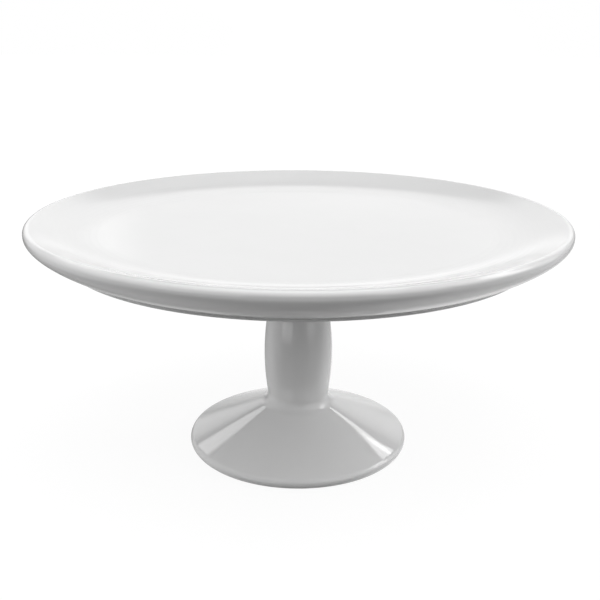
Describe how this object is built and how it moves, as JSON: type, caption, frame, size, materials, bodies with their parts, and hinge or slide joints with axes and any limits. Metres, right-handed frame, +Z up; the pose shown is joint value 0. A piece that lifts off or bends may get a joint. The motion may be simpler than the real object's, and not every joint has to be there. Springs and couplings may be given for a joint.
{
  "type": "footed cake stand",
  "caption": "Footed cake stand: a round glazed ceramic plate with a raised border on a hollow pedestal with a barrel stem and a conical foot, held by a screw from below.",
  "frame": {"origin": "centre of the circle that the foot rests on, at table height", "axes": "+Z up along the stem's axis; X and Y lie in the table's plane, and every turn about +Z looks the same"},
  "size_m": [0.3, 0.3, 0.1391],
  "materials": {
    "white_glaze": "gloss",
    "clear_silicone": "satin",
    "brass": "satin",
    "cement": "matte",
    "stainless_steel": "satin",
    "black_rubber": "matte"
  },
  "bodies": {
    "pedestal": {"pedestal": "white_glaze", "seat_gasket": "clear_silicone"},
    "plate": {"plate": "white_glaze", "threaded_insert": "brass", "insert_cement": "cement"},
    "washers": {"steel_washer": "stainless_steel", "rubber_washer": "black_rubber"},
    "clamp_screw": {"clamp_screw": "stainless_steel"}
  },
  "joints": [
    {"name": "plate_lift", "type": "slide", "parent": "pedestal", "child": "plate", "axis": [0, 0, 1], "range_m": [0, 0.05]},
    {"name": "screw_travel", "type": "slide", "parent": "pedestal", "child": "washers", "axis": [0, 0, -1], "range_m": [0, 0.008]},
    {"name": "screw_turn", "type": "hinge", "parent": "washers", "child": "clamp_screw", "pos_m": [0, 0, 0.1099], "axis": [0, 0, -1], "range_deg": [0, 2880]}
  ],
  "couplings": [
    {"joint": "screw_turn", "follows": "screw_travel", "rad_per_m": 6283.2}
  ]
}
